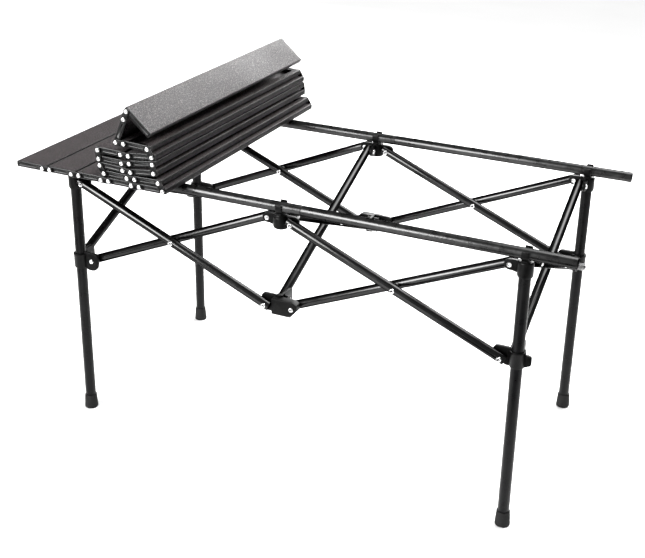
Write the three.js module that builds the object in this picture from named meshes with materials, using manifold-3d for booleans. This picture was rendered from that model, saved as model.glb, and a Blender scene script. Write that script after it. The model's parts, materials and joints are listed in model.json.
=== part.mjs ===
// A camping table with a roll-up slat top, half unrolled, on a folding scissor frame.
// Millimetres, +Z up, +X along the table, +Y from the near side to the far side.
// The origin is the centre of the footprint, on the floor.
import * as THREE from 'three';
import { mergeVertices } from 'three/addons/utils/BufferGeometryUtils.js';
import Module from 'manifold-3d';

const wasm = await Module();
wasm.setup();

// ---- Driving dimensions ----
const GAP = 0.35; // running clearance between neighbours that slide or turn

// Frame: six posts on a square grid; the middle posts have no leg.
const CELL = 400; // post spacing, along and across
const FRAME_Y = -12; // the frame's centre line, from the tabletop's
const TOP_Z = 455; // upper pivots
const LOW_Z = 304; // lower pivots
const REACH = 24; // pivot to post axis
const LEG_R = 9.4;
const LEG_BORE = 8.2;
const LEG_TOP = 461;
const POST_SIDES = 12; // facets round a leg and what fits it
const BAR_R = 7.7;
const BAR_BORE = 6.6;
const BAR_OVERHANG = 8.2; // tube beyond the end pivots
const EAR_HALF = 2.7; // half the thickness of a hub's ear
const BAR_SIDES = 8;
const BAR_FLAT = BAR_R * Math.cos(Math.PI / BAR_SIDES); // bar axis to a flat facet
const BAR_OFFSET = EAR_HALF + GAP + BAR_R; // bar axis to the middle of the ear
const RIVET_R = 2.1;
const RIVET_HOLE = 2.9;
const RIVET_HEAD_R = 4;
const RIVET_HEAD = 1.6;
const BITE = 0.3; // how far a rivet head sinks into the facet that it sits on
const SPACER_R = 4.6; // the washer between two crossing bars

// Rails
const RAIL_R = 8.8;
const RAIL_BORE = 7.6;
const RAIL_Z = 476.2;
const RAIL_LEFT = -462;
const RAIL_SEAM = 37;
const RAIL_SIDES = 12;
const SEAM_GAP = 0.4; // between the two halves of a rail
const SPIGOT = 50; // the right half's reduced end, inside the left half
const SPIGOT_R = RAIL_BORE - GAP;
const SPIGOT_BORE = 6;
const SPIGOT_ROOT = 6; // length over which the spigot is joined to the rail's wall

// Hubs
const COLLAR_R = 12.3;
const SOCKET_R = LEG_R + GAP; // bore round a leg
const TOP_COLLAR = [440, 465];
const LOW_COLLAR = [LOW_Z - 14, LOW_Z + 13];
const NECK_R = 8; // between a top hub's collar and its clip
const CLIP_WIDTH = 12;
const CLIP_R = RAIL_R + GAP; // inside of the clip that holds the rail
const CLIP_WALL = 2.3;
const CLIP_RISE = 6.8; // arm tips above the rail's axis
const TOP_EAR_R = 9.6;
const LOW_EAR_REACH = 38;
const LOW_EAR_HALF = 15;
const LOW_EAR_ROUND = 8;

// Feet
const FOOT_TOP = 27;
const FOOT_TOP_R = 10.6;
const FOOT_BASE_R = 12.4;
const FOOT_FLOOR = 6; // solid rubber under the leg's end

// Tabletop: slats joined by link plates at their ends.
const SLATS = 16;
const FLAT_SLATS = 5; // slats that lie unrolled on the rails
const SLAT_W = 56;
const SLAT_T = 10.4;
const SLAT_WALL = 1.3;
const SLAT_CORNER = 2.2;
const SLAT_LIP = 12; // width of the inward lips under a slat
const CAP_DEPTH = 9; // plastic plug in each end
const END_SLAT_EXTRA = 4; // the two end slats are this much wider, on their free side
const SLAT_HALF = 270.8; // half the slat's length
const PIN_X = 22.25; // pins each side of a slat's middle
const LINK = 15; // pin spacing on a link plate
const PIN_R = 1.7;
const PIN_HOLE = 2.4;
const PIN_DEPTH = 5;
const PLATE_R = 5;
const PLATE_T = 2;
const PLATE_FACE = SLAT_HALF + 0.3 + PLATE_T; // a link plate's outer face, from the middle
const DOME_R = 3.8;
const DOME_H = 1.9;
const SLAT_Z = RAIL_Z + RAIL_R + GAP + SLAT_T / 2; // the flat slats' pins
const FIRST_PIN_5 = -227; // slat 5's first pin
const HALF_LENGTH = -FIRST_PIN_5 + (FLAT_SLATS - 1) * (2 * PIN_X + LINK) + SLAT_W / 2 - PIN_X
  + END_SLAT_EXTRA;

// Directions of the pieces above slat 5, from one pin to the next, in degrees above +X.
const FOLDED = {
  link_05_06: 122, slat_06: 181.5, slat_07: 178.6,
  link_07_08: 119.1, slat_08: -2.6, slat_09: 6.7,
  link_09_10: 97, slat_10: 187.2, slat_11: 178.8,
  link_11_12: 93.8, slat_12: -1.2, slat_13: 5.9,
  link_13_14: 121.5, slat_14: 177.5, slat_15: 66.9, slat_16: -41,
};

// ---- Materials ----
const paint = (color, roughness, metalness) =>
  new THREE.MeshStandardMaterial({ color, roughness, metalness });
const materials = {
  slat: () => paint(0x3b393b, 0.55, 0.3),
  link: () => paint(0x17171a, 0.5, 0),
  rail: () => paint(0x2a2a2c, 0.3, 0.6),
  bar: () => paint(0x1a1a1c, 0.28, 0.6),
  leg: () => paint(0x2c2c2e, 0.4, 0.5),
  hub: () => paint(0x101012, 0.55, 0),
};

// ---- Solid helpers ----
function solid(geometry) {
  geometry.deleteAttribute('normal');
  geometry.deleteAttribute('uv');
  const merged = mergeVertices(geometry, 1e-4);
  const vertProperties = new Float32Array(merged.attributes.position.array);
  const triVerts = new Uint32Array(merged.index.array);
  return new wasm.Manifold(new wasm.Mesh({ numProp: 3, vertProperties, triVerts }));
}

function toMesh(name, manifold, material) {
  const mesh = manifold.getMesh();
  const geometry = new THREE.BufferGeometry();
  geometry.setAttribute('position', new THREE.BufferAttribute(mesh.vertProperties, 3));
  geometry.setIndex(new THREE.BufferAttribute(mesh.triVerts, 1));
  geometry.computeVertexNormals();
  const part = new THREE.Mesh(geometry, material);
  part.name = name;
  return part;
}

const union = (pieces) => pieces.reduce((sum, piece) => sum.add(piece));
const up = new THREE.Vector3(0, 1, 0);

// A cylinder or cone from point a to point b. With facing given, a flat facet faces that way.
function rod(a, b, radiusA, radiusB = radiusA, sides = 6, facing = null) {
  const span = new THREE.Vector3().subVectors(b, a);
  const along = span.clone().normalize();
  const geometry = new THREE.CylinderGeometry(radiusB, radiusA, span.length(), sides, 1, false,
    facing ? Math.PI / sides - Math.PI / 2 : 0);
  if (facing) {
    const across = new THREE.Vector3().crossVectors(facing, along);
    geometry.applyMatrix4(new THREE.Matrix4().makeBasis(facing, along, across));
  } else {
    geometry.applyQuaternion(new THREE.Quaternion().setFromUnitVectors(up, along));
  }
  geometry.translate((a.x + b.x) / 2, (a.y + b.y) / 2, (a.z + b.z) / 2);
  return solid(geometry);
}

// An open tube from point a to point b.
function tube(a, b, radius, bore, sides, facing = null) {
  const along = new THREE.Vector3().subVectors(b, a).normalize();
  const inner = rod(a.clone().addScaledVector(along, -1), b.clone().addScaledVector(along, 1),
    bore, bore, sides, facing);
  return rod(a, b, radius, radius, sides, facing).subtract(inner);
}

// A flat outline in the X-Z plane, thickened along Y from y0 to y1.
function plate(shape, y0, y1, curveSegments = 2) {
  const geometry = new THREE.ExtrudeGeometry(shape,
    { depth: y1 - y0, bevelEnabled: false, curveSegments });
  geometry.rotateX(Math.PI / 2);
  geometry.translate(0, y1, 0);
  return solid(geometry);
}

const point = (x, y, z) => new THREE.Vector3(x, y, z);
const degrees = (angle) => (angle * Math.PI) / 180;

// ---- Posts and hubs ----
const COLUMNS = { left: -CELL, mid: 0, right: CELL };
const ROWS = { near: FRAME_Y - CELL / 2, far: FRAME_Y + CELL / 2 };

// The directions in which a post's neighbours lie, as quarter turns from +X towards +Y.
function earTurns(row, column) {
  const turns = [row === 'near' ? 1 : 3];
  if (column !== 'right') turns.push(0);
  if (column !== 'left') turns.push(2);
  return turns;
}

function topEarShape() {
  const shape = new THREE.Shape();
  shape.moveTo(0, TOP_EAR_R);
  shape.lineTo(0, -TOP_EAR_R - 2);
  shape.lineTo(COLLAR_R + 2, -TOP_EAR_R);
  shape.lineTo(REACH, -TOP_EAR_R);
  shape.absarc(REACH, 0, TOP_EAR_R, -Math.PI / 2, Math.PI / 2, false);
  return shape;
}

function lowEarShape() {
  const shape = new THREE.Shape();
  shape.moveTo(0, LOW_EAR_HALF);
  shape.lineTo(0, -LOW_EAR_HALF);
  shape.lineTo(REACH + 2, -LOW_EAR_HALF);
  shape.lineTo(LOW_EAR_REACH, -LOW_EAR_HALF / 3);
  shape.lineTo(LOW_EAR_REACH, LOW_EAR_HALF - LOW_EAR_ROUND);
  shape.absarc(LOW_EAR_REACH - LOW_EAR_ROUND, LOW_EAR_HALF - LOW_EAR_ROUND, LOW_EAR_ROUND,
    0, Math.PI / 2, false);
  return shape;
}

// One ear with its rivet hole, turned about the post and lifted to its pivot's height.
function ear(shape, turn, height) {
  const hole = rod(point(REACH, -9, 0), point(REACH, 9, 0), RIVET_HOLE);
  return plate(shape, -EAR_HALF, EAR_HALF).subtract(hole)
    .rotate([0, 0, 90 * turn]).translate([0, 0, height]);
}

// The open clip on top of a hub, which the rail snaps into.
function railClip() {
  const outer = CLIP_R + CLIP_WALL;
  const shape = new THREE.Shape();
  shape.moveTo(outer, CLIP_RISE);
  shape.lineTo(CLIP_R, CLIP_RISE);
  shape.lineTo(CLIP_R, 0);
  shape.absarc(0, 0, CLIP_R, 0, -Math.PI, true);
  shape.lineTo(-CLIP_R, CLIP_RISE);
  shape.lineTo(-outer, CLIP_RISE);
  shape.lineTo(-outer, 0);
  shape.absarc(0, 0, outer, -Math.PI, 0, false);
  return plate(shape, -CLIP_WIDTH / 2, CLIP_WIDTH / 2, 4)
    .rotate([0, 0, 90]).translate([0, 0, RAIL_Z]);
}

function collar([bottom, top]) {
  return rod(point(0, 0, bottom), point(0, 0, top), COLLAR_R, COLLAR_R, POST_SIDES);
}

// The space that a leg takes inside a hub, between two heights.
function legSpace(bottom, top) {
  return rod(point(0, 0, bottom), point(0, 0, top), SOCKET_R, SOCKET_R, POST_SIDES);
}

// The ears towards a post's neighbours, with the post's collar.
function collarWithEars(row, column, heights, shape, pivotZ) {
  const ears = earTurns(row, column).map((turn) => ear(shape, turn, pivotZ));
  return union([collar(heights), ...ears]);
}

function topHub(row, column) {
  const [bottom, top] = TOP_COLLAR;
  let body = collarWithEars(row, column, TOP_COLLAR, topEarShape(), TOP_Z);
  if (column !== 'mid') body = body.subtract(legSpace(bottom - 1, LEG_TOP + GAP));
  const neck = rod(point(0, 0, top - 1), point(0, 0, RAIL_Z - CLIP_R - 0.4), NECK_R, NECK_R, 8);
  return union([body, neck, railClip()]).translate([COLUMNS[column], ROWS[row], 0]);
}

function lowHub(row, column) {
  const [bottom, top] = LOW_COLLAR;
  let body = collarWithEars(row, column, LOW_COLLAR, lowEarShape(), LOW_Z);
  if (column !== 'mid') body = body.subtract(legSpace(bottom - 9, top + 9));
  return body.translate([COLUMNS[column], ROWS[row], 0]);
}

// ---- Legs ----
function leg(row, column) {
  const x = COLUMNS[column];
  const y = ROWS[row];
  const end = point(x, y, FOOT_FLOOR);
  const legTube = tube(end, point(x, y, LEG_TOP), LEG_R, LEG_BORE, POST_SIDES);
  const foot = rod(point(x, y, 0), point(x, y, FOOT_TOP), FOOT_BASE_R, FOOT_TOP_R, POST_SIDES);
  const hollow = rod(end, point(x, y, FOOT_TOP + 1), LEG_BORE, LEG_BORE, POST_SIDES);
  return legTube.add(foot.subtract(hollow));
}

// ---- Scissor bars ----
// The rivet at a bar's end: side is the unit vector from the ear's middle to the bar.
function endRivet(pivot, side) {
  const at = (distance) => pivot.clone().addScaledVector(side, distance);
  const tail = -EAR_HALF - GAP;
  const outside = BAR_OFFSET + BAR_FLAT;
  return union([
    rod(at(tail - RIVET_HEAD / 2), at(BAR_OFFSET - BAR_FLAT + BITE), RIVET_R),
    rod(at(tail), at(tail - RIVET_HEAD), RIVET_HEAD_R, RIVET_HEAD_R / 2),
    rod(at(outside - BITE), at(outside + RIVET_HEAD), RIVET_HEAD_R, RIVET_HEAD_R / 2),
  ]);
}

// The rivet at the crossing belongs to the rising bar and runs through the falling bar.
function centreRivet(centre, side) {
  const at = (distance) => centre.clone().addScaledVector(side, distance);
  const inner = BAR_OFFSET - BAR_FLAT;
  const outer = BAR_OFFSET + BAR_FLAT;
  return union([
    rod(at(inner + BITE), at(-outer - GAP - RIVET_HEAD / 2), RIVET_R),
    rod(at(inner + BITE), at(-inner + GAP), SPACER_R),
    rod(at(outer - BITE), at(outer + RIVET_HEAD), RIVET_HEAD_R, RIVET_HEAD_R / 2),
    rod(at(-outer - GAP), at(-outer - GAP - RIVET_HEAD), RIVET_HEAD_R, RIVET_HEAD_R / 2),
  ]);
}

function bar(a, b, side, rising) {
  const along = new THREE.Vector3().subVectors(b, a).normalize();
  const end = (pivot, sign) => pivot.clone().addScaledVector(side, BAR_OFFSET)
    .addScaledVector(along, sign * BAR_OVERHANG);
  const centre = new THREE.Vector3().addVectors(a, b).multiplyScalar(0.5);
  const body = tube(end(a, -1), end(b, 1), BAR_R, BAR_BORE, BAR_SIDES, side);
  const rivets = [endRivet(a, side), endRivet(b, side)];
  if (rising) return union([body, ...rivets, centreRivet(centre, side)]);
  const reach = BAR_OFFSET + BAR_R + 1;
  const hole = rod(centre.clone(), centre.clone().addScaledVector(side, reach), RIVET_HOLE);
  return union([body.subtract(hole), ...rivets]);
}

// The pivot of a post's hub that faces a neighbouring post.
function pivotOf(row, column, towards, z) {
  return point(COLUMNS[column], ROWS[row], z).addScaledVector(towards, REACH);
}

// A bar between two posts; rising means that it climbs from post a to post b.
function barBetween([rowA, columnA], [rowB, columnB], rising, side) {
  const towards = point(COLUMNS[columnB] - COLUMNS[columnA], ROWS[rowB] - ROWS[rowA], 0).normalize();
  const a = pivotOf(rowA, columnA, towards, rising ? LOW_Z : TOP_Z);
  const b = pivotOf(rowB, columnB, towards.clone().negate(), rising ? TOP_Z : LOW_Z);
  return bar(a, b, side, rising);
}

// The two crossing bars of one cell, each on its own side of the hubs' ears.
function addCrossing(group, name, postA, postB, risingSide) {
  const fallingSide = risingSide.clone().negate();
  group.add(toMesh(`${name}_rising_bar`, barBetween(postA, postB, true, risingSide), materials.bar()));
  group.add(toMesh(`${name}_falling_bar`, barBetween(postA, postB, false, fallingSide), materials.bar()));
}

function addScissors(group) {
  for (const row of Object.keys(ROWS)) {
    addCrossing(group, `${row}_left`, [row, 'left'], [row, 'mid'], point(0, 1, 0));
    addCrossing(group, `${row}_right`, [row, 'mid'], [row, 'right'], point(0, 1, 0));
  }
  for (const column of Object.keys(COLUMNS)) {
    addCrossing(group, `${column}_cross`, ['near', column], ['far', column], point(-1, 0, 0));
  }
}

// ---- Rails ----
function railLeft(y) {
  const left = point(RAIL_LEFT, y, RAIL_Z);
  return tube(left, point(RAIL_SEAM, y, RAIL_Z), RAIL_R, RAIL_BORE, RAIL_SIDES);
}

function railRight(y) {
  const at = (x) => point(x, y, RAIL_Z);
  const start = RAIL_SEAM + SEAM_GAP;
  const rootEnd = start + SPIGOT_ROOT;
  const tip = RAIL_SEAM - SPIGOT;
  const rootR = (RAIL_R + RAIL_BORE) / 2;
  const body = tube(at(start), at(HALF_LENGTH), RAIL_R, RAIL_BORE, RAIL_SIDES);
  const spigot = rod(at(tip), at(rootEnd), SPIGOT_R, SPIGOT_R, RAIL_SIDES);
  const root = rod(at(start), at(rootEnd), rootR, rootR, RAIL_SIDES);
  const bore = rod(at(tip - 1), at(rootEnd + 1), SPIGOT_BORE, SPIGOT_BORE, RAIL_SIDES);
  return union([body, spigot, root]).subtract(bore);
}

// ---- Tabletop ----
// A slat's section: a flat top with rounded edges, two side walls and inward lips below.
function slatSection(left, right) {
  const half = SLAT_T / 2;
  const c = SLAT_CORNER;
  const w = SLAT_WALL;
  const shape = new THREE.Shape();
  shape.moveTo(left + SLAT_LIP, -half);
  shape.lineTo(left + c, -half);
  shape.lineTo(left, -half + c);
  shape.lineTo(left, half - c);
  shape.lineTo(left + c, half);
  shape.lineTo(right - c, half);
  shape.lineTo(right, half - c);
  shape.lineTo(right, -half + c);
  shape.lineTo(right - c, -half);
  shape.lineTo(right - SLAT_LIP, -half);
  shape.lineTo(right - SLAT_LIP, -half + w);
  shape.lineTo(right - c, -half + w);
  shape.lineTo(right - w, -half + c);
  shape.lineTo(right - w, half - c);
  shape.lineTo(right - c, half - w);
  shape.lineTo(left + c, half - w);
  shape.lineTo(left + w, half - c);
  shape.lineTo(left + w, -half + c);
  shape.lineTo(left + c, -half + w);
  shape.lineTo(left + SLAT_LIP, -half + w);
  return shape;
}

// The outline that fills a slat's section at its ends.
function capSection(left, right) {
  const half = SLAT_T / 2;
  const c = SLAT_CORNER;
  const shape = new THREE.Shape();
  shape.moveTo(left + c, -half);
  shape.lineTo(right - c, -half);
  shape.lineTo(right, -half + c);
  shape.lineTo(right, half - c);
  shape.lineTo(right - c, half);
  shape.lineTo(left + c, half);
  shape.lineTo(left, half - c);
  shape.lineTo(left, -half + c);
  return shape;
}

// A link plate from x0 to x1, outside the slat's far (+1) or near (-1) end.
function linkPlate(x0, x1, end) {
  const shape = new THREE.Shape();
  shape.absarc(x1, 0, PLATE_R, -Math.PI / 2, Math.PI / 2, false);
  shape.absarc(x0, 0, PLATE_R, Math.PI / 2, 1.5 * Math.PI, false);
  const y0 = end * (PLATE_FACE - PLATE_T);
  const y1 = end * PLATE_FACE;
  return plate(shape, Math.min(y0, y1), Math.max(y0, y1));
}

// A pin from inside the next slat's end to the link plate, with a low head outside.
function linkPin(x, end) {
  const start = end * (SLAT_HALF - PIN_DEPTH);
  return union([
    rod(point(x, start, 0), point(x, end * (PLATE_FACE - 0.5), 0), PIN_R),
    rod(point(x, end * (PLATE_FACE - 0.5), 0), point(x, end * (PLATE_FACE + DOME_H), 0),
      DOME_R, DOME_R * 0.55),
  ]);
}

// The pin that fastens a link plate to its own slat.
function fixedPin(x, end) {
  return rod(point(x, end * (SLAT_HALF - 1), 0), point(x, end * (PLATE_FACE + DOME_H), 0),
    DOME_R * 0.9);
}

function pinHole(x, end) {
  return rod(point(x, end * (SLAT_HALF - PIN_DEPTH - 0.5), 0), point(x, end * (SLAT_HALF + 1), 0),
    PIN_HOLE);
}

// The link between slats n and n + 1 is a piece of its own where the top doubles back.
const freeLinkAfter = [5, 7, 9, 11, 13];
const isFused = (n) => !freeLinkAfter.includes(n);

// Slat number n about its own middle. A fused slat carries the link plates to the next slat.
function slat(n) {
  const first = n === 1;
  const last = n === SLATS;
  const left = -SLAT_W / 2 - (first ? END_SLAT_EXTRA : 0);
  const right = SLAT_W / 2 + (last ? END_SLAT_EXTRA : 0);
  let body = plate(slatSection(left, right), -SLAT_HALF, SLAT_HALF);
  for (const end of [-1, 1]) {
    const inside = end * (SLAT_HALF - CAP_DEPTH);
    const face = end * SLAT_HALF;
    body = body.add(plate(capSection(left, right), Math.min(inside, face), Math.max(inside, face)));
    if (!first) body = body.subtract(pinHole(-PIN_X, end));
    if (last) continue;
    if (isFused(n)) {
      body = union([body, linkPlate(PIN_X, PIN_X + LINK, end), fixedPin(PIN_X, end),
        linkPin(PIN_X + LINK, end)]);
    } else {
      body = body.subtract(pinHole(PIN_X, end));
    }
  }
  return body;
}

// A link between two slats, as a piece of its own.
function freeLink(end) {
  return union([linkPlate(0, LINK, end), linkPin(0, end), linkPin(LINK, end)]);
}

const twoDigits = (n) => String(n).padStart(2, '0');

// Places a piece whose local point (x, 0) lies at the pin (px, pz), turned by an angle.
function placed(manifold, x, px, pz, angle) {
  return manifold.translate([-x, 0, 0]).rotate([0, -angle, 0]).translate([px, 0, pz]);
}

function addTabletop(group) {
  let px = FIRST_PIN_5 - (FLAT_SLATS - 1) * (2 * PIN_X + LINK);
  let pz = SLAT_Z;
  const step = (length, angle) => {
    px += length * Math.cos(degrees(angle));
    pz += length * Math.sin(degrees(angle));
  };
  for (let n = 1; n <= SLATS; n += 1) {
    const name = `slat_${twoDigits(n)}`;
    const angle = FOLDED[name] ?? 0;
    group.add(toMesh(name, placed(slat(n), -PIN_X, px, pz, angle), materials.slat()));
    step(2 * PIN_X, angle);
    if (n === SLATS) break;
    if (isFused(n)) {
      step(LINK, angle);
      continue;
    }
    const span = `${twoDigits(n)}_${twoDigits(n + 1)}`;
    const linkAngle = FOLDED[`link_${span}`];
    for (const [side, end] of [['near', -1], ['far', 1]]) {
      group.add(toMesh(`${side}_link_${span}`, placed(freeLink(end), 0, px, pz, linkAngle),
        materials.link()));
    }
    step(LINK, linkAngle);
  }
}

// ---- Assembly ----
const table = new THREE.Group();
addTabletop(table);
for (const row of Object.keys(ROWS)) {
  table.add(toMesh(`${row}_left_rail`, railLeft(ROWS[row]), materials.rail()));
  table.add(toMesh(`${row}_right_rail`, railRight(ROWS[row]), materials.rail()));
  for (const column of Object.keys(COLUMNS)) {
    const lowName = column === 'mid' ? 'low_hub' : 'slider';
    table.add(toMesh(`${row}_${column}_top_hub`, topHub(row, column), materials.hub()));
    table.add(toMesh(`${row}_${column}_${lowName}`, lowHub(row, column), materials.hub()));
    if (column === 'mid') continue;
    table.add(toMesh(`${row}_${column}_leg`, leg(row, column), materials.leg()));
  }
}
addScissors(table);

export default table;
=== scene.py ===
"""The folding table's looks: tubes, moulded hubs, powder-coated slats, rivets, floor and light.

Lengths are in metres, written as millimetres times MM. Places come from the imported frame.
"""
import json
import math

import bmesh
import bpy
from mathutils import Matrix, Vector


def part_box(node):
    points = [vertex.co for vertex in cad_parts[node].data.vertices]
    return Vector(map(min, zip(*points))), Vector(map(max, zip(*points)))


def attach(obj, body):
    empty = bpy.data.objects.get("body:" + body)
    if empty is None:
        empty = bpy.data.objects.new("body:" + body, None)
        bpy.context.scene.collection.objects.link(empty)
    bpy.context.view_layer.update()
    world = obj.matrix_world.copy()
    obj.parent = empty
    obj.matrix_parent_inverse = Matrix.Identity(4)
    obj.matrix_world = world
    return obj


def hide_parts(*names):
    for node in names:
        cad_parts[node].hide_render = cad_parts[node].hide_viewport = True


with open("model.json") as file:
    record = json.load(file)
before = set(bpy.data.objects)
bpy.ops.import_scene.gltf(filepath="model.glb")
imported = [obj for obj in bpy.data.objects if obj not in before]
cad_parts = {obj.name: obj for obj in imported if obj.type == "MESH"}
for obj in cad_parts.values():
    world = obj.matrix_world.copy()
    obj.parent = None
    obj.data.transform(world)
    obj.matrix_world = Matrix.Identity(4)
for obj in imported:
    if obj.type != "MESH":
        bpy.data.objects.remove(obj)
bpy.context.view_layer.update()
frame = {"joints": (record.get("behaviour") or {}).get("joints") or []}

MM = 0.001
SIDES = 48  # facets round a tube or hub
WASHER_SIDES = 32
RIVET_SIDES = 28
SHANK_SIDES = 20
CORNER_STEPS = 5
STADIUM_STEPS = 10
CLIP_STEPS = 14
ARC = [math.radians(angle) for angle in (0, 30, 60, 90)]  # the turns of a rounded rim
SHARP = math.radians(38)  # edges bent more than this stay sharp

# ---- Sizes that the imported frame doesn't state ----
BAR_R = 7.7 * MM
BAR_BORE = 6.6 * MM
BAR_OVERHANG = 8.2 * MM  # beyond the pivots
EAR_HALF = 2.7 * MM  # half the thickness of a hub's ears
GAP = 0.35 * MM  # clearance between fitted parts
BAR_OFFSET = EAR_HALF + GAP + BAR_R
RAIL_BORE = 7.6 * MM
SPIGOT_R = 7.2 * MM
SPIGOT_BORE = 6 * MM
SEAM_GAP = 0.4 * MM  # between a rail's two tubes
LEG_R = 9.4 * MM
LEG_BORE = 8.2 * MM
FOOT_FLOOR = 6 * MM  # the leg's lower end, inside its foot
COLLAR_R = 12.3 * MM
TOP_COLLAR = (440 * MM, 465 * MM)  # bottom and top heights of a top hub's collar
SOCKET_R = 9.7 * MM
CLIP_WIDTH = 11.4 * MM
CLIP_WALL = 2.3 * MM
NEAR_ARM = 5.6 * MM  # clip arm tips above the rail's axis
FAR_ARM = 8.2 * MM
LOW_BOX_DEPTH = 12.3 * MM  # a middle low hub's front face, from its post's axis
SLAT_HALF_WIDTH = 28 * MM
END_SLAT_EXTRA = 4 * MM
SLAT_T = 10.4 * MM
SLAT_WALL = 1.3 * MM
SLAT_CORNER = 2.3 * MM
SLAT_LIP = 12 * MM
SLAT_HALF = 270.8 * MM  # half a slat's length, caps included
SHADED_SIDE_SLOPE = 0.35  # faces whose normal has more X than this are a slat's sides, which get painted shade
FIRST_FIXED_SLAT = 3  # this slat and the next ones up to the last flat one are one body
LAST_FLAT_SLAT = 5
CAP_FLANGE = 1.8 * MM
CAP_DEPTH = 9 * MM
PLATE_R = 5.2 * MM  # link plates
PLATE_T = 2 * MM
PLATE_GAP = 0.3 * MM
DOME_R = 3.8 * MM  # link rivet heads
DOME_H = 1.9 * MM

# ---- Places from the frame ----
pivots = {joint["name"]: Vector(joint["pos_m"]) for joint in frame["joints"] if "pos_m" in joint}


def middle(node):
    low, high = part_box(node)
    return (low + high) / 2


COLUMNS = {"left": middle("near_left_leg").x, "right": middle("near_right_leg").x}
COLUMNS["mid"] = (COLUMNS["left"] + COLUMNS["right"]) / 2
ROWS = {"near": middle("near_left_leg").y, "far": middle("far_left_leg").y}


def post(row, column):
    return Vector((COLUMNS[column], ROWS[row], 0))


TOP_Z = pivots["frame_fold"].z
LOW_Z = pivots["near_mid_low_pivot"].z
REACH = pivots["frame_fold"].y - ROWS["near"]
LEG_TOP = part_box("near_left_leg")[1].z
RAIL_Z = middle("near_left_rail").z
RAIL_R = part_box("near_left_rail")[1].z - RAIL_Z
PITCH = pivots["slat_02_fold"].x - pivots["end_slat_fold"].x
LAST_FLAT_PIN = pivots["slat_02_fold"].x + (LAST_FLAT_SLAT - FIRST_FIXED_SLAT) * PITCH
PIN_SPAN = pivots["tabletop_unroll_lower"].x - LAST_FLAT_PIN
LINK = PITCH - PIN_SPAN

# The joints of the stack's pieces, from the flat slats to the free end on top. A slat in
# FREE_LINK_AFTER is followed by link plates that turn on their own.
first_rolled = [joint["name"] for joint in frame["joints"]].index("tabletop_unroll_lower")
ROLLED = frame["joints"][first_rolled:]
FREE_LINK_AFTER = [int(joint["child"].split("_")[1]) for joint in ROLLED
                   if joint["child"].startswith("link")]
SLATS = max(int(joint["child"].split("_")[-1]) for joint in ROLLED)

X = Vector((1, 0, 0))
Y = Vector((0, 1, 0))
Z = Vector((0, 0, 1))
UPRIGHT = Matrix.Rotation(math.pi / 2, 4, "X")  # outline Y to Z, thickness to -Y
MIRROR_Y = Matrix.Scale(-1, 4, Y)


# ---- Materials ----
def new_material(name, color, roughness, metallic=0.0, specular=0.5):
    """A Principled material with its even values on the shader's own sockets."""
    material = bpy.data.materials.new(name)
    material.use_nodes = True
    shader = material.node_tree.nodes["Principled BSDF"]
    shader.inputs["Base Color"].default_value = (*color, 1)
    shader.inputs["Roughness"].default_value = roughness
    shader.inputs["Metallic"].default_value = metallic
    shader.inputs["Specular IOR Level"].default_value = specular
    return material


def texture(material, kind, scale, **settings):
    """A noise or Voronoi texture in the piece's own coordinates; scale is in cells a metre."""
    nodes = material.node_tree.nodes
    links = material.node_tree.links
    place = nodes.get("Place") or nodes.new("ShaderNodeTexCoord")
    place.name = "Place"
    node = nodes.new(kind)
    node.inputs["Scale"].default_value = scale
    for socket, value in settings.items():
        node.inputs[socket].default_value = value
    links.new(place.outputs["Object"], node.inputs["Vector"])
    return node.outputs[0]


def stretched(material, kind, scale, axis_scale, **settings):
    """The same, with the coordinates scaled along the axes, for drawn metal."""
    nodes = material.node_tree.nodes
    links = material.node_tree.links
    output = texture(material, kind, scale, **settings)
    mapping = nodes.new("ShaderNodeMapping")
    mapping.inputs["Scale"].default_value = axis_scale
    links.new(nodes["Place"].outputs["Object"], mapping.inputs["Vector"])
    links.new(mapping.outputs["Vector"], output.node.inputs["Vector"])
    return output


def ramp(material, source, stops):
    """Turns a value from 0 to 1 into colours or greys; stops are (position, colour)."""
    node = material.node_tree.nodes.new("ShaderNodeValToRGB")
    elements = node.color_ramp.elements
    while len(elements) < len(stops):
        elements.new(0.5)
    for element, (position, color) in zip(elements, stops):
        element.position = position
        element.color = (*color, 1)
    material.node_tree.links.new(source, node.inputs["Fac"])
    return node.outputs["Color"]


def grey(value):
    return (value, value, value)


def set_color(material, source, stops):
    links = material.node_tree.links
    shader = material.node_tree.nodes["Principled BSDF"]
    links.new(ramp(material, source, stops), shader.inputs["Base Color"])


def set_roughness(material, source, low, high):
    links = material.node_tree.links
    shader = material.node_tree.nodes["Principled BSDF"]
    values = ramp(material, source, [(0.3, grey(low)), (0.7, grey(high))])
    links.new(values, shader.inputs["Roughness"])


def set_bump(material, *layers):
    """Stacked bumps; each layer is (height source, strength, depth in metres)."""
    nodes = material.node_tree.nodes
    links = material.node_tree.links
    below = None
    for height, strength, depth in layers:
        node = nodes.new("ShaderNodeBump")
        node.inputs["Strength"].default_value = strength
        node.inputs["Distance"].default_value = depth
        links.new(height, node.inputs["Height"])
        if below:
            links.new(below, node.inputs["Normal"])
        below = node.outputs["Normal"]
    links.new(below, nodes["Principled BSDF"].inputs["Normal"])


def slat_material(name, shade, specular):
    """Fine textured powder coat: dark warm grey with paler grains; shade scales its brightness."""
    colors = ((0.010, 0.009, 0.009), (0.030, 0.027, 0.0275), (0.185, 0.16, 0.165))
    dark, even, pale = (tuple(shade * c for c in color) for color in colors)
    material = new_material(name, even, 0.4, specular=specular)
    grains = texture(material, "ShaderNodeTexNoise", 480, Detail=4, Roughness=0.75)
    cloud = texture(material, "ShaderNodeTexNoise", 14, Detail=3)
    set_color(material, grains, [(0.43, dark), (0.52, even), (0.64, pale)])
    set_roughness(material, cloud, 0.34, 0.46)
    set_bump(material, (grains, 0.8, 0.5 * MM))
    return material


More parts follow.
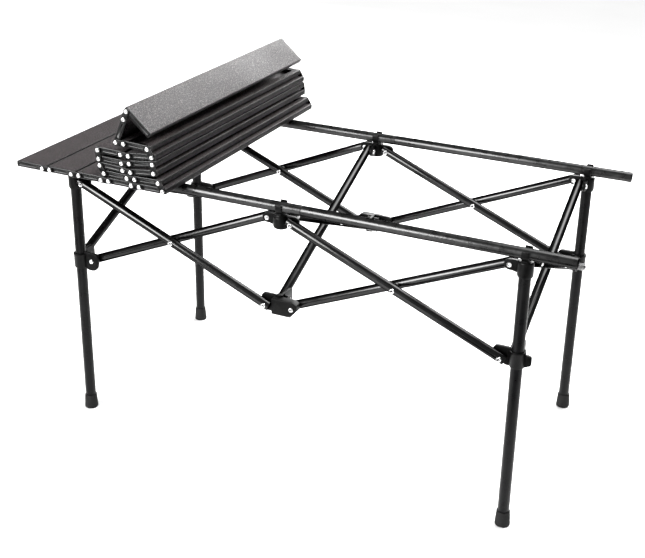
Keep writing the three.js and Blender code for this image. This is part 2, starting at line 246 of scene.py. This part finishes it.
def dark_metal(name, roughness, low, high, cloud_scale):
    """Blackened metal, clouded between two greys, that mirrors little along its outline."""
    material = new_material(name, grey(low), roughness, metallic=1.0)
    shader = material.node_tree.nodes["Principled BSDF"]
    shader.inputs["Specular Tint"].default_value = (*grey(0.15), 1)
    cloud = texture(material, "ShaderNodeTexNoise", cloud_scale, Detail=4)
    set_color(material, cloud, [(0.3, grey(low)), (0.7, grey(high))])
    return material, cloud


def bar_material():
    """Gloss black finish with a faint orange peel."""
    material, cloud = dark_metal("bar_gloss_black", 0.2, 0.03, 0.042, 26)
    peel = texture(material, "ShaderNodeTexNoise", 380, Detail=2)
    set_roughness(material, cloud, 0.16, 0.27)
    set_bump(material, (peel, 0.12, 0.2 * MM))
    return material


def rail_material():
    """Dark hammered coat that breaks up the long highlights."""
    material, cloud = dark_metal("rail_hammered_coat", 0.28, 0.04, 0.06, 60)
    dents = texture(material, "ShaderNodeTexVoronoi", 230, Randomness=1)
    grain = texture(material, "ShaderNodeTexNoise", 1100, Detail=2)
    set_roughness(material, cloud, 0.22, 0.38)
    set_bump(material, (dents, 0.22, 0.35 * MM), (grain, 0.15, 0.1 * MM))
    return material


def leg_material():
    """Satin dark grey coat, slightly drawn along the tube."""
    material = new_material("leg_satin_coat", (0.006, 0.006, 0.0065), 0.3, specular=0.11)
    drawn = stretched(material, "ShaderNodeTexNoise", 500, (1, 1, 0.04), Detail=3)
    cloud = texture(material, "ShaderNodeTexNoise", 40, Detail=4)
    low, high = (0.0025, 0.0025, 0.0027), (0.0045, 0.0045, 0.0048)
    set_color(material, cloud, [(0.3, low), (0.7, high)])
    set_roughness(material, cloud, 0.24, 0.36)
    set_bump(material, (drawn, 0.12, 0.1 * MM))
    return material


def moulded_material(name, color, low, high, specular=0.09):
    """Black moulded plastic with a fine spark-eroded grain."""
    material = new_material(name, color, low, specular=specular)
    grain = texture(material, "ShaderNodeTexNoise", 1600, Detail=2)
    cloud = texture(material, "ShaderNodeTexNoise", 90, Detail=4)
    lighter = tuple(1.9 * c for c in color)
    set_color(material, cloud, [(0.35, color), (0.75, lighter)])
    set_roughness(material, cloud, low, high)
    set_bump(material, (grain, 0.25, 0.12 * MM))
    return material


def rubber_material():
    """Matt black rubber with scuffs."""
    material = new_material("foot_rubber", grey(0.006), 0.75, specular=0.2)
    scuff = texture(material, "ShaderNodeTexNoise", 160, Detail=6, Roughness=0.65)
    grain = texture(material, "ShaderNodeTexNoise", 1300, Detail=2)
    set_color(material, scuff, [(0.4, grey(0.004)), (0.72, grey(0.012))])
    set_roughness(material, scuff, 0.62, 0.85)
    set_bump(material, (grain, 0.4, 0.15 * MM))
    return material


def rivet_material():
    """Bright plated steel with fine turning marks."""
    material = new_material("rivet_plated", (0.86, 0.86, 0.87), 0.2, metallic=1.0)
    marks = texture(material, "ShaderNodeTexNoise", 1400, Detail=3)
    tarnish = texture(material, "ShaderNodeTexNoise", 240, Detail=3)
    set_color(material, tarnish, [(0.3, grey(0.72)), (0.6, grey(0.92))])
    set_roughness(material, marks, 0.14, 0.3)
    set_bump(material, (marks, 0.08, 0.08 * MM))
    return material


SLAT_COAT = slat_material("slat_powder_coat", 0.75, 0.06)
# The slats' sides are the same coat as the tops; this much darker copy of it is painted shade
SLAT_SIDE_PAINTED_SHADE = slat_material("slat_side_painted_shade", 0.16, 0.05)
BAR_PAINT = bar_material()
RAIL_COAT = rail_material()
LEG_COAT = leg_material()
HUB_PLASTIC = moulded_material("hub_plastic", grey(0.0017), 0.3, 0.44)
CAP_PLASTIC = moulded_material("cap_plastic", grey(0.0025), 0.2, 0.3, 0.3)
LINK_PLASTIC = moulded_material("link_plastic", grey(0.002), 0.2, 0.3, 0.3)
RUBBER = rubber_material()
PLATED = rivet_material()


# ---- Outlines: lists of 2D points, anticlockwise ----
def rounded(corners):
    """The outline through (x, y, radius) corners, each rounded to its radius."""
    outline = []
    for i, (x, y, radius) in enumerate(corners):
        corner = Vector((x, y))
        if radius == 0:
            outline.append(corner)
            continue
        back = (Vector(corners[i - 1][:2]) - corner).normalized()
        on = (Vector(corners[(i + 1) % len(corners)][:2]) - corner).normalized()
        half = back.angle(on) / 2
        centre = corner + (back + on).normalized() * (radius / math.sin(half))
        start = corner + back * (radius / math.tan(half)) - centre
        end = corner + on * (radius / math.tan(half)) - centre
        sweep = math.pi - 2 * half
        for k in range(CORNER_STEPS + 1):
            t = k / CORNER_STEPS
            arm = start * math.sin((1 - t) * sweep) + end * math.sin(t * sweep)
            outline.append(centre + arm / math.sin(sweep))
    return outline


def rectangle(left, right, bottom, top, radius):
    corners = ((left, bottom), (right, bottom), (right, top), (left, top))
    return rounded([(x, y, radius) for x, y in corners])


def stadium(start, end, radius):
    """The outline round two points on the X axis."""
    outline = []
    for x, first in ((end, -math.pi / 2), (start, math.pi / 2)):
        for k in range(STADIUM_STEPS + 1):
            angle = first + math.pi * k / STADIUM_STEPS
            outline.append(Vector((x + radius * math.cos(angle), radius * math.sin(angle))))
    return outline


def inset(outline, distance):
    """The outline with every side moved inwards."""
    inner = []
    for i, point in enumerate(outline):
        before = (point - outline[i - 1]).normalized()
        after = (outline[(i + 1) % len(outline)] - point).normalized()
        inward = Vector((-before.y - after.y, before.x + after.x)).normalized()
        slant = inward.dot(Vector((-before.y, before.x)))
        inner.append(point + inward * (distance / max(slant, 0.5)))
    return inner


# ---- Solids: bmeshes ----
def loft(levels):
    """A closed solid through (outline, height) levels that have the same number of points."""
    solid = bmesh.new()
    rings = [[solid.verts.new((p.x, p.y, height)) for p in outline] for outline, height in levels]
    for low, high in zip(rings, rings[1:]):
        for i in range(len(low)):
            solid.faces.new((low[i - 1], low[i], high[i], high[i - 1]))
    solid.faces.new(rings[0][::-1])
    solid.faces.new(rings[-1])
    return solid


def slab(outline, bottom, top, edge):
    """An outline thickened from bottom to top, its two rims rounded by edge."""
    below = [(inset(outline, edge * (1 - math.sin(a))), bottom + edge * (1 - math.cos(a)))
             for a in ARC]
    above = [(ring, bottom + top - height) for ring, height in reversed(below)]
    return loft(below + above)


def lathe(profile, sides=SIDES):
    """A solid turned about Z; its (radius, height) points close on the axis or on themselves."""
    solid = bmesh.new()
    rings = []
    for radius, height in profile:
        count = sides if radius > 0 else 1
        rings.append([solid.verts.new((radius * math.cos(2 * math.pi * k / sides),
                                       radius * math.sin(2 * math.pi * k / sides), height))
                      for k in range(count)])
    pairs = list(zip(rings, rings[1:]))
    if profile[0][0] > 0:
        pairs.append((rings[-1], rings[0]))
    for low, high in pairs:
        for i in range(sides):
            j = (i + 1) % sides
            corners = [low[i % len(low)], low[j % len(low)],
                       high[j % len(high)], high[i % len(high)]]
            solid.faces.new(list(dict.fromkeys(corners)))
    return solid


def tube_profile(radius, bore, bottom, top, lip=0.45 * MM):
    """A tube's wall with its two outer rims rounded."""
    low = [(radius - lip * (1 - math.sin(a)), bottom + lip * (1 - math.cos(a))) for a in ARC]
    high = [(r, bottom + top - z) for r, z in reversed(low)]
    return [(bore, bottom)] + low + high + [(bore, top)]


def placed(solid, *matrices):
    """The solid moved by the matrices, the last one first."""
    matrix = Matrix.Identity(4)
    for step in matrices:
        matrix = matrix @ step
    bmesh.ops.transform(solid, matrix=matrix, verts=solid.verts)
    return solid


def moved(x, y, z):
    return Matrix.Translation((x, y, z))


def facing(origin, direction):
    """Local Z along a direction, from an origin."""
    return Matrix.Translation(origin) @ direction.to_track_quat("Z", "Y").to_matrix().to_4x4()


def to_mesh(solid, name):
    bmesh.ops.recalc_face_normals(solid, faces=solid.faces)
    mesh = bpy.data.meshes.new(name)
    solid.to_mesh(mesh)
    solid.free()
    return mesh


def gathered(solids):
    """Separate solids as one."""
    whole = bmesh.new()
    for solid in solids:
        mesh = to_mesh(solid, "part")
        whole.from_mesh(mesh)
        bpy.data.meshes.remove(mesh)
    return whole


def combined(operation, first, *others):
    """The first solid joined with the others or cut by them, as one skin."""
    objects = [bpy.data.objects.new("part", to_mesh(solid, "part")) for solid in (first, *others)]
    for obj in objects:
        bpy.context.scene.collection.objects.link(obj)
    for other in objects[1:]:
        modifier = objects[0].modifiers.new("combine", "BOOLEAN")
        modifier.operation = operation
        modifier.solver = "EXACT"
        modifier.object = other
    depsgraph = bpy.context.evaluated_depsgraph_get()
    result = bmesh.new()
    result.from_mesh(objects[0].evaluated_get(depsgraph).to_mesh())
    for obj in objects:
        mesh = obj.data
        bpy.data.objects.remove(obj)
        bpy.data.meshes.remove(mesh)
    return result


def add_piece(name, solid, material, slot, body, *replaced):
    """A finished piece that rides on a body and stands for the replaced CAD nodes."""
    mesh = to_mesh(solid, name)
    mesh.materials.append(material)
    mesh.shade_smooth()
    mesh.set_sharp_from_angle(angle=SHARP)
    obj = bpy.data.objects.new(name, mesh)
    bpy.context.scene.collection.objects.link(obj)
    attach(obj, body)
    if replaced:
        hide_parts(*replaced)
    return obj


# ---- Rivets ----
def eyelet():
    """A frame rivet's head: a rolled rim round a deep dimple, standing on Z = 0."""
    return lathe([(0, -1.8 * MM), (4.1 * MM, -1.8 * MM), (4.3 * MM, 0.2 * MM), (4 * MM, 1 * MM),
                  (3.3 * MM, 1.5 * MM), (2.5 * MM, 1.45 * MM), (1.9 * MM, 1 * MM),
                  (1.7 * MM, -0.4 * MM), (1.2 * MM, -0.9 * MM), (0, -1 * MM)], RIVET_SIDES)


def dome():
    """A link rivet's low round head on Z = 0, with its root below."""
    root = 1 * MM
    turns = [math.radians(angle) for angle in (12, 30, 50, 70)]
    cap = [(DOME_R * math.cos(a), DOME_H * math.sin(a)) for a in turns]
    stem = [(0, -root), (DOME_R * 0.9, -root), (DOME_R, 0)]
    return lathe(stem + cap + [(0, DOME_H)], RIVET_SIDES)


def shank(length):
    radius = 2.1 * MM
    return lathe([(0, 0), (radius, 0), (radius, length), (0, length)], SHANK_SIDES)


def washer(thickness):
    """A spacer ring between two crossing bars, with chamfered rims, standing on Z = 0."""
    bore, face, rim, chamfer = 2.4 * MM, 5.2 * MM, 5.6 * MM, 0.6 * MM
    return lathe([(bore, 0), (face, 0), (rim, chamfer), (rim, thickness - chamfer),
                  (face, thickness), (bore, thickness)], WASHER_SIDES)


# ---- Legs and feet ----
def foot():
    """A tapered rubber boot with a rounded tread edge and a lip round the leg."""
    return lathe([(0, 0), (10.2 * MM, 0), (11.5 * MM, 0.5 * MM), (12.25 * MM, 1.6 * MM),
                  (12.4 * MM, 3.2 * MM), (12.25 * MM, 6.5 * MM), (10.95 * MM, 25.4 * MM),
                  (10.8 * MM, 26.5 * MM), (10.4 * MM, 27 * MM), (9.95 * MM, 26.9 * MM),
                  (9.5 * MM, 26.2 * MM), (9.45 * MM, FOOT_FLOOR), (0, FOOT_FLOOR)])


def add_legs():
    for row in ROWS:
        for column in ("left", "right"):
            body = f"{row}_{column}_leg"
            place = Matrix.Translation(post(row, column))
            tube = lathe(tube_profile(LEG_R, LEG_BORE, FOOT_FLOOR, LEG_TOP))
            add_piece(f"{body}_tube", placed(tube, place), LEG_COAT, "leg", body, body)
            add_piece(f"{row}_{column}_foot", placed(foot(), place), RUBBER, "foot", body)


# ---- Scissor bars ----
def add_bar(name, a, b, side, rising):
    """One bar between pivots a and b, on the given side of the ears, with its rivets."""
    along = (b - a).normalized()
    start = a + side * BAR_OFFSET - along * BAR_OVERHANG
    length = (b - a).length + 2 * BAR_OVERHANG
    tube = placed(lathe(tube_profile(BAR_R, BAR_BORE, 0, length)), facing(start, along))
    add_piece(f"{name}_tube", tube, BAR_PAINT, "bar", name, name)
    outside = BAR_OFFSET + BAR_R - 0.3 * MM  # a head's seat on the bar, from the pivot
    inside = EAR_HALF + GAP  # and on the ear's other face
    heads = []
    for pivot in (a, b):
        heads.append(placed(eyelet(), facing(pivot + side * outside, side)))
        heads.append(placed(eyelet(), facing(pivot - side * inside, -side)))
        heads.append(placed(shank(outside + EAR_HALF), facing(pivot - side * inside, side)))
    if rising:
        centre = (a + b) / 2
        heads.append(placed(eyelet(), facing(centre + side * outside, side)))
        heads.append(placed(eyelet(), facing(centre - side * outside, -side)))
        heads.append(placed(shank(2 * outside), facing(centre - side * outside, side)))
        spread = 2 * (BAR_OFFSET - BAR_R) - 2 * GAP
        ring = placed(washer(spread), facing(centre - side * (spread / 2), side))
        add_piece(f"{name}_washer", ring, HUB_PLASTIC, "hub", name)
    add_piece(f"{name}_rivets", gathered(heads), PLATED, "rivet", name)


def add_crossing(name, post_a, post_b, rising_side):
    """The two bars of one cell. The rising bar climbs from post a to post b."""
    towards = (post_b - post_a).normalized()
    ends = [post_a + towards * REACH, post_b - towards * REACH]
    low, high = Z * LOW_Z, Z * TOP_Z
    add_bar(f"{name}_rising_bar", ends[0] + low, ends[1] + high, rising_side, True)
    add_bar(f"{name}_falling_bar", ends[0] + high, ends[1] + low, -rising_side, False)


def add_scissors():
    for row in ROWS:
        add_crossing(f"{row}_left", post(row, "left"), post(row, "mid"), Y)
        add_crossing(f"{row}_right", post(row, "mid"), post(row, "right"), Y)
    for column in COLUMNS:
        add_crossing(f"{column}_cross", post("near", column), post("far", column), -X)


# ---- Hubs, about their own post and pivot height ----
def ear_turns(row, column):
    """Quarter turns from +X towards +Y of the directions in which a post has neighbours."""
    turns = [1 if row == "near" else 3]
    if column != "right":
        turns.append(0)
    if column != "left":
        turns.append(2)
    return turns


def quarter(turn):
    return Matrix.Rotation(turn * math.pi / 2, 4, "Z")


def outwards(row):
    """Turns a hub made for the near row so that its front looks away from the table."""
    return quarter(0 if row == "near" else 2)


def top_ear():
    """A lug round an upper rivet, with a web down to the collar's foot."""
    end = 8.6 * MM
    outline = rounded([(0, -13 * MM, 0), (REACH - 4 * MM, -end, 0), (REACH + end, -end, 8.5 * MM),
                       (REACH + end, end, 8.5 * MM), (0, 9.4 * MM, 0)])
    return placed(slab(outline, -EAR_HALF, EAR_HALF, 0.8 * MM), UPRIGHT)


def low_ear(reach=38 * MM, slant=9 * MM):
    """A large rounded plate round a lower rivet; its lower edge rises by slant towards the end."""
    bottom = -15 * MM
    outline = rounded([(0, bottom, 0), (reach * 0.45, bottom, 9 * MM),
                       (reach, bottom + slant, 6 * MM), (reach, 15.5 * MM, 7 * MM),
                       (0, 16.2 * MM, 0)])
    return placed(slab(outline, -EAR_HALF, EAR_HALF, 1 * MM), UPRIGHT)


def leg_space(bottom, top):
    """What is cut from a hub for its leg."""
    return lathe([(0, bottom), (SOCKET_R, bottom), (SOCKET_R, top), (0, top)])


def arm_tip(inner, outer, height):
    """The rounded end of a clip's arm, from its outer to its inner wall."""
    return [Vector((outer, height - 0.4 * MM)), Vector((outer - 0.5 * MM, height + 0.6 * MM)),
            Vector((inner + 0.8 * MM, height + 0.9 * MM)), Vector((inner, height))]


def rail_clip():
    """The open cradle that the rail snaps into. Its near arm is shorter than its far arm."""
    inner = RAIL_R + GAP
    outer = inner + CLIP_WALL
    steps = [math.pi * k / CLIP_STEPS for k in range(CLIP_STEPS + 1)]
    under = [Vector((-outer * math.cos(a), -outer * math.sin(a))) for a in steps]
    over = [Vector((inner * math.cos(a), -inner * math.sin(a))) for a in steps]
    far_tip = arm_tip(inner, outer, FAR_ARM)
    near_tip = [Vector((-tip.x, tip.y)) for tip in reversed(arm_tip(inner, outer, NEAR_ARM))]
    cradle = slab(under + far_tip + over + near_tip, -CLIP_WIDTH / 2, CLIP_WIDTH / 2, 0.5 * MM)
    return placed(cradle, moved(0, 0, RAIL_Z), quarter(1), UPRIGHT)


def leg_socket():
    """A top hub's collar: closed above the leg, with a chamfered foot."""
    bottom, top = TOP_COLLAR
    roof = LEG_TOP + GAP
    return lathe([(0, roof), (SOCKET_R, roof), (SOCKET_R, bottom + 0.4 * MM), (10.1 * MM, bottom),
                  (11.2 * MM, bottom), (COLLAR_R, bottom + 3.2 * MM), (COLLAR_R, top - 2.4 * MM),
                  (11.9 * MM, top - 1 * MM), (10.8 * MM, top), (0, top)])


def barrel():
    """The middle top hub's body: a drum with a rounded bottom and a stepped shoulder."""
    bottom, top = TOP_COLLAR[0] + 1 * MM, TOP_COLLAR[1]
    return lathe([(0, bottom), (9 * MM, bottom), (11.4 * MM, bottom + 0.7 * MM),
                  (12.7 * MM, bottom + 2.2 * MM), (13.1 * MM, bottom + 4.5 * MM),
                  (13.1 * MM, top - 6 * MM), (12.7 * MM, top - 4.4 * MM),
                  (11.8 * MM, top - 3.6 * MM), (11.6 * MM, top - 1.2 * MM),
                  (10.8 * MM, top), (0, top)])


def neck():
    """The block between a top hub's collar and its clip."""
    return slab(rectangle(-CLIP_WIDTH / 2, CLIP_WIDTH / 2, -9.6 * MM, 9.6 * MM, 2 * MM),
                TOP_COLLAR[1] - 3 * MM, RAIL_Z - RAIL_R + 0.2 * MM - GAP, 0.5 * MM)


def top_hub(row, column):
    core = barrel() if column == "mid" else leg_socket()
    ears = [placed(top_ear(), moved(0, 0, TOP_Z), quarter(turn))
            for turn in ear_turns(row, column)]
    body = combined("UNION", core, neck(), rail_clip(), *ears)
    if column == "mid":
        return body
    return combined("DIFFERENCE", body, leg_space(TOP_COLLAR[0] - 40 * MM, LEG_TOP + GAP))


def round_lobe():
    """Makes the slider's ear towards the next post rounder below."""
    lobe = slab(stadium(20 * MM, REACH, 13.5 * MM), -EAR_HALF, EAR_HALF, 1 * MM)
    return placed(lobe, moved(0, 0, LOW_Z - 4.5 * MM), UPRIGHT)


def short_lobe():
    """A small plate on the side where the slider has no ear."""
    lobe = placed(low_ear(22 * MM, 8 * MM), Matrix.Scale(0.72, 4, Z))
    return placed(lobe, moved(0, 0, LOW_Z - 3 * MM))


SLIDER_LOBES = {("near", "left"): round_lobe, ("near", "right"): short_lobe}


def slider(row, column):
    """A collar that slides on the leg, with a raised upper rim and large ears."""
    bottom, top = LOW_Z - 14 * MM, LOW_Z + 13 * MM
    rim = COLLAR_R + 0.6 * MM
    collar = lathe([(SOCKET_R, bottom + 0.3 * MM), (10.2 * MM, bottom), (11.3 * MM, bottom),
                    (12.2 * MM, bottom + 1.6 * MM), (COLLAR_R, top - 3.4 * MM),
                    (rim, top - 2.6 * MM), (rim, top - 0.7 * MM), (COLLAR_R, top),
                    (10.4 * MM, top), (SOCKET_R, top - 0.5 * MM)])
    ears = [placed(low_ear(), moved(0, 0, LOW_Z), quarter(turn))
            for turn in ear_turns(row, column)]
    if (row, column) in SLIDER_LOBES:
        ears.append(SLIDER_LOBES[row, column]())
    body = combined("UNION", collar, *ears)
    return combined("DIFFERENCE", body, leg_space(bottom - 9 * MM, top + 9 * MM))


def mid_low_hub(row):
    """A box body flush with one ear's front, an ear plate on the other side and one across."""
    half, bottom, top = 12 * MM, -15 * MM, 13 * MM
    front = rounded([(-half, bottom, 1.5 * MM), (22 * MM, bottom, 3 * MM),
                     (34 * MM, -1 * MM, 3 * MM), (34 * MM, 8 * MM, 3 * MM),
                     (26 * MM, top, 4 * MM), (-half, top, 1.5 * MM)])
    back = rectangle(-half, half, bottom, top, 1.5 * MM)
    left_ear = rounded([(0, bottom, 0), (0, 16 * MM, 0), (-36 * MM, 16 * MM, 7 * MM),
                        (-33 * MM, -4 * MM, 6 * MM), (-32.5 * MM, bottom, 5 * MM)])
    plates = [slab(front, -EAR_HALF, LOW_BOX_DEPTH, 1 * MM),
              slab(back, -LOW_BOX_DEPTH, 0, 1 * MM),
              slab(left_ear, -EAR_HALF, EAR_HALF, 1 * MM)]
    across = placed(low_ear(), quarter(1))
    body = combined("UNION", *[placed(plate, UPRIGHT) for plate in plates], across)
    pockets = [slab(rectangle(x - 4.5 * MM, x + 4.5 * MM, 1.6 * MM, 8.4 * MM, 1 * MM),
                    8 * MM, 20 * MM, 0.3 * MM) for x in (-5.8 * MM, 5.8 * MM)]
    return placed(combined("DIFFERENCE", body, *pockets), moved(0, 0, LOW_Z), outwards(row))


def add_hubs():
    for row in ROWS:
        for column in COLUMNS:
            place = Matrix.Translation(post(row, column))
            on_leg = column != "mid"
            upper = f"{row}_{column}_top_hub"
            upper_body = f"{row}_{column}_leg" if on_leg else upper
            solid = placed(top_hub(row, column), place)
            add_piece(f"{upper}_moulding", solid, HUB_PLASTIC, "hub", upper_body, upper)
            lower = f"{row}_{column}_slider" if on_leg else f"{row}_mid_low_hub"
            solid = placed(slider(row, column) if on_leg else mid_low_hub(row), place)
            add_piece(f"{lower}_moulding", solid, HUB_PLASTIC, "hub", lower, lower)
        place = Matrix.Translation(post(row, "mid")) @ outwards(row)
        head = placed(eyelet(), place, facing(Vector((REACH, -LOW_BOX_DEPTH, LOW_Z)), -Y))
        add_piece(f"{row}_mid_low_hub_rivet", head, PLATED, "rivet", f"{row}_mid_low_hub")


# ---- Rails ----
def add_rails():
    """Each rail's two tubes, and the right tube's spigot inside the left."""
    lip = 0.7 * MM
    for row in ROWS:
        body = f"{row}_rail"
        left_end, seam = (corner.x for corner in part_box(f"{row}_left_rail"))
        tip, right_end = (corner.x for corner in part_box(f"{row}_right_rail"))
        place = facing(Vector((0, ROWS[row], RAIL_Z)), X)
        for half, start, end in (("left", left_end, seam), ("right", seam + SEAM_GAP, right_end)):
            node = f"{row}_{half}_rail"
            tube = placed(lathe(tube_profile(RAIL_R, RAIL_BORE, start, end, lip)), place)
            add_piece(f"{node}_tube", tube, RAIL_COAT, "rail", body, node)
        spigot = lathe(tube_profile(SPIGOT_R, SPIGOT_BORE, tip, seam + 20 * MM))
        add_piece(f"{row}_rail_spigot", placed(spigot, place), LEG_COAT, "rail", body)


# ---- Tabletop, each slat about its first pin with X towards its second ----
def slat_section(left, right):
    """A thin-walled channel, open below between two inward lips."""
    h = SLAT_T / 2
    w = SLAT_WALL
    outer = SLAT_CORNER
    inner = SLAT_CORNER - SLAT_WALL
    lip = 0.3 * MM
    return rounded([(right - SLAT_LIP, -h, lip), (right, -h, outer), (right, h, outer),
                    (left, h, outer), (left, -h, outer), (left + SLAT_LIP, -h, lip),
                    (left + SLAT_LIP, w - h, lip), (left + w, w - h, inner),
                    (left + w, h - w, inner), (right - w, h - w, inner),
                    (right - w, w - h, inner), (right - SLAT_LIP, w - h, lip)])


def end_cap(left, right, panel_left, panel_right):
    """A moulded plug whose outer face, on Z = 0, has a sunk panel."""
    h = SLAT_T / 2
    flange = rectangle(left, right, -h, h, SLAT_CORNER)
    plug = rectangle(left + SLAT_WALL + GAP, right - SLAT_WALL - GAP,
                     -h + SLAT_WALL, h - SLAT_WALL - GAP, 1 * MM)
    panel = rectangle(panel_left, panel_right, -h + 1.7 * MM, h - 1.7 * MM, 1.6 * MM)
    return loft([(plug, -CAP_DEPTH), (plug, -CAP_FLANGE), (flange, -CAP_FLANGE),
                 (flange, -0.6 * MM), (inset(flange, 0.4 * MM), -0.2 * MM),
                 (inset(flange, 0.9 * MM), 0), (panel, 0),
                 (inset(panel, 0.9 * MM), -0.9 * MM), (inset(panel, 1.3 * MM), -1.2 * MM)])


def both_ends(solids):
    """Parts of the near end, given with their outward direction along Z, at both ends."""
    near = gathered(solids)
    placed(near, moved(0, -SLAT_HALF, 0), UPRIGHT)
    far = near.copy()
    placed(far, MIRROR_Y)
    return [near, far]


def link_plate(start, end):
    return slab(stadium(start, end, PLATE_R), PLATE_GAP, PLATE_GAP + PLATE_T, 0.6 * MM)


def link_rivets(*places):
    face = PLATE_GAP + PLATE_T
    return [placed(dome(), moved(x, 0, face)) for x in places]


def add_slat(n, body, place):
    """Slat n with its end caps and, where the next link is in line with it, the link plates."""
    first, last = n == 1, n == SLATS
    centre = PIN_SPAN / 2
    left = centre - SLAT_HALF_WIDTH - (END_SLAT_EXTRA if first else 0)
    right = centre + SLAT_HALF_WIDTH + (END_SLAT_EXTRA if last else 0)
    name = f"slat_{n:02d}"
    metal_end = SLAT_HALF - CAP_FLANGE
    section = slat_section(left, right)
    metal = loft([(section, -metal_end), (section, metal_end)])
    metal.normal_update()
    # Sideways faces take the darker copy of the coat: painted shade on the slat's sides
    for face in metal.faces:
        face.material_index = int(abs(face.normal.x) > SHADED_SIDE_SLOPE)
    placed(metal, place, UPRIGHT)
    channel = add_piece(f"{name}_channel", metal, SLAT_COAT, "slat", body, name)
    channel.data.materials.append(SLAT_SIDE_PAINTED_SHADE)
    clear = 7.2 * MM  # from a pin to the sunk panel
    margin = 3 * MM  # from a free edge to the panel
    panel_left = left + margin if first else clear
    panel_right = right - margin if last else PIN_SPAN - clear
    caps = both_ends([end_cap(left, right, panel_left, panel_right)])
    add_piece(f"{name}_caps", placed(gathered(caps), place), CAP_PLASTIC, "cap", body)
    if not last and n not in FREE_LINK_AFTER:
        add_links(name, body, place, PIN_SPAN, are_nodes=False)


def add_links(name, body, place, start, are_nodes):
    """Link plates and rivets from local X = start, at the near and the far end."""
    plates = both_ends([link_plate(start, start + LINK)])
    rivets = both_ends(link_rivets(start, start + LINK))
    for side, plate, heads in zip(("near", "far"), plates, rivets):
        link = f"{side}_{name}"
        replaced = [link] if are_nodes else []
        add_piece(f"{link}_link_plate", placed(plate, place), LINK_PLASTIC, "link", body, *replaced)
        add_piece(f"{link}_link_rivets", placed(heads, place), PLATED, "rivet", body)


def add_tabletop():
    """The flat slats, then the stack: each piece turned from the last by its joint's range."""
    fold_pin = pivots["slat_02_fold"]
    for n in range(1, LAST_FLAT_SLAT + 1):
        body = "flat_slats" if n >= FIRST_FIXED_SLAT else f"slat_{n:02d}"
        add_slat(n, body, moved(fold_pin.x + (n - FIRST_FIXED_SLAT) * PITCH, 0, fold_pin.z))
    angle = 0
    for joint in ROLLED:
        angle += math.radians(sum(joint["range_deg"]))
        child = joint["child"]
        place = Matrix.Translation(joint["pos_m"]) @ Matrix.Rotation(-angle, 4, "Y")
        if child.startswith("slat"):
            add_slat(int(child[-2:]), child, place)
        else:
            add_links(child, child, place, 0, are_nodes=True)


# ---- Stage ----
def floor_material():
    material = new_material("floor_pale", grey(0.79), 0.7, specular=0.2)
    cloud = texture(material, "ShaderNodeTexNoise", 3, Detail=2)
    set_color(material, cloud, [(0.3, grey(0.78)), (0.7, grey(0.8))])
    return material


def add_quad(name, left, right, front, back, height, material):
    """A level rectangle that belongs to the stage."""
    solid = bmesh.new()
    corners = ((left, front), (right, front), (right, back), (left, back))
    solid.faces.new([solid.verts.new((x, y, height)) for x, y in corners])
    mesh = bpy.data.meshes.new(name)
    solid.to_mesh(mesh)
    solid.free()
    mesh.materials.append(material)
    obj = bpy.data.objects.new(name, mesh)
    bpy.context.scene.collection.objects.link(obj)
    return obj


def add_floor():
    reach = 14
    add_quad("floor", -reach, reach, -reach, reach, 0, floor_material())


def add_flags():
    """Black cards on the floor that only show as reflections in the glossy parts."""
    black = new_material("flag_black", grey(0.004), 0.9, specular=0.0)
    flags = [add_quad("right_flag", 0.15, 1.6, -2.2, -0.5, 2 * MM, black),
             add_quad("left_flag", -1.7, -0.45, -2.2, -0.75, 2 * MM, black)]
    for flag in flags:
        flag.visible_camera = False
        flag.visible_diffuse = False
        flag.visible_shadow = False


def add_softbox(name, place, target, size, power):
    """A rectangular light aimed at a point, itself unseen by the camera."""
    light = bpy.data.lights.new(name, "AREA")
    light.shape = "RECTANGLE"
    light.size, light.size_y = size
    light.energy = power
    obj = bpy.data.objects.new(name, light)
    obj.location = place
    obj.rotation_euler = (Vector(target) - Vector(place)).to_track_quat("-Z", "Y").to_euler()
    obj.visible_camera = False
    bpy.context.scene.collection.objects.link(obj)


def add_sun(towards, strength, spread):
    """A wide soft sun that lights the whole floor alike."""
    light = bpy.data.lights.new("sun", "SUN")
    light.energy = strength
    light.angle = math.radians(spread)
    obj = bpy.data.objects.new("sun", light)
    obj.rotation_euler = Vector(towards).to_track_quat("Z", "Y").to_euler()
    bpy.context.scene.collection.objects.link(obj)


def add_lights():
    world = bpy.data.worlds.new("studio")
    world.use_nodes = True
    world.node_tree.nodes["Background"].inputs["Color"].default_value = (1, 1, 1, 1)
    world.node_tree.nodes["Background"].inputs["Strength"].default_value = 0.35
    bpy.context.scene.world = world
    add_sun((0.25, 0.4, 1), 2.6, 40)
    aim = (0, 0, 0.4)
    add_softbox("back", (0.1, 2.5, 1.7), aim, (2.4, 1.0), 170)
    add_softbox("top_back", (0.7, 1.3, 2.1), aim, (1.4, 0.9), 25)
    add_softbox("front_left", (-1.65, -2.95, 1.8), aim, (2.1, 1.7), 280)


def add_camera():
    """Looks down at the table from its near right, slightly rolled."""
    azimuth, elevation, roll = math.radians(24.68), math.radians(22.33), math.radians(0.97)
    back = Vector((math.sin(azimuth) * math.cos(elevation),
                   -math.cos(azimuth) * math.cos(elevation), math.sin(elevation)))
    level = Z.cross(back).normalized()
    upward = back.cross(level)
    right = math.cos(roll) * level + math.sin(roll) * upward
    up = math.cos(roll) * upward - math.sin(roll) * level
    camera = bpy.data.cameras.new("camera")
    camera.sensor_width = 36
    camera.lens = 62.46
    camera.shift_y = -0.0915
    obj = bpy.data.objects.new("camera", camera)
    rotation = Matrix((right, up, back)).transposed()
    obj.matrix_world = Matrix.Translation((0.7495, -1.6851, 1.1334)) @ rotation.to_4x4()
    bpy.context.scene.collection.objects.link(obj)
    bpy.context.scene.camera = obj


add_camera()
add_lights()
add_floor()
add_flags()
add_legs()
add_scissors()
add_hubs()
add_rails()
add_tabletop()
bpy.context.scene.view_settings.view_transform = "Standard"

bpy.context.view_layer.update()
